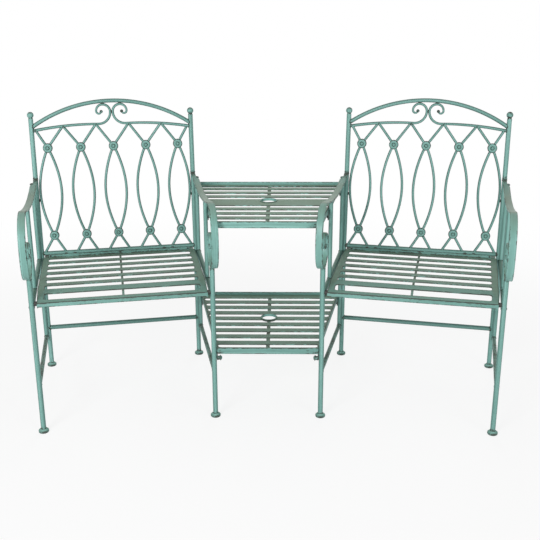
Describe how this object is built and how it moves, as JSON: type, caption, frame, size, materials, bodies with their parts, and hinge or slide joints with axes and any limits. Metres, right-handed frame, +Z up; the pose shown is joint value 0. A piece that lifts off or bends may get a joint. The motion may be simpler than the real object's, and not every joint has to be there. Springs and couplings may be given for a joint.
{
  "type": "garden companion seat",
  "caption": "Two metal garden armchairs turned slightly inward and joined by a slatted table with an upper and a lower tray and parasol rings.",
  "frame": {"origin": "on the floor under the middle of the whole", "axes": "+X to the right of a person who looks at its front, +Y to the back, +Z up"},
  "size_m": [1.6332, 0.709, 0.9516],
  "materials": {
    "frame_paint": "verdigris paint with brushed streaks",
    "lattice_paint": "verdigris paint with dark rub at the joints",
    "sheet_paint": "verdigris paint, olive on its upper faces",
    "foot_paint": "verdigris paint"
  },
  "bodies": {
    "root": {"left_arch_rail": "frame_paint", "left_arm_post_inner": "frame_paint", "left_arm_post_outer": "frame_paint", "left_armrest_inner": "frame_paint", "left_armrest_outer": "frame_paint", "left_back_bottom_rail": "frame_paint", "left_back_post_inner": "frame_paint", "left_back_post_outer": "frame_paint", "left_front_foot_inner": "foot_paint", "left_front_foot_outer": "foot_paint", "left_front_leg_inner": "frame_paint", "left_front_leg_outer": "frame_paint", "left_lattice_1": "lattice_paint", "left_lattice_2": "lattice_paint", "left_lattice_3": "lattice_paint", "left_lattice_4": "lattice_paint", "left_lattice_5": "lattice_paint", "left_rear_foot_inner": "foot_paint", "left_rear_foot_outer": "foot_paint", "left_rear_stretcher": "frame_paint", "left_scroll_rail_inner": "lattice_paint", "left_scroll_rail_outer": "lattice_paint", "left_seat_panel": "sheet_paint", "left_seat_rail_inner": "frame_paint", "left_seat_rail_outer": "frame_paint", "left_side_stay_inner": "frame_paint", "left_side_stay_outer": "frame_paint", "lower_parasol_ring": "sheet_paint", "lower_table_tray": "sheet_paint", "right_arch_rail": "frame_paint", "right_arm_post_inner": "frame_paint", "right_arm_post_outer": "frame_paint", "right_armrest_inner": "frame_paint", "right_armrest_outer": "frame_paint", "right_back_bottom_rail": "frame_paint", "right_back_post_inner": "frame_paint", "right_back_post_outer": "frame_paint", "right_front_foot_inner": "foot_paint", "right_front_foot_outer": "foot_paint", "right_front_leg_inner": "frame_paint", "right_front_leg_outer": "frame_paint", "right_lattice_1": "lattice_paint", "right_lattice_2": "lattice_paint", "right_lattice_3": "lattice_paint", "right_lattice_4": "lattice_paint", "right_lattice_5": "lattice_paint", "right_rear_foot_inner": "foot_paint", "right_rear_foot_outer": "foot_paint", "right_rear_stretcher": "frame_paint", "right_scroll_rail_inner": "lattice_paint", "right_scroll_rail_outer": "lattice_paint", "right_seat_panel": "sheet_paint", "right_seat_rail_inner": "frame_paint", "right_seat_rail_outer": "frame_paint", "right_side_stay_inner": "frame_paint", "right_side_stay_outer": "frame_paint", "upper_parasol_ring": "sheet_paint", "upper_table_tray": "sheet_paint"}
  },
  "joints": []
}
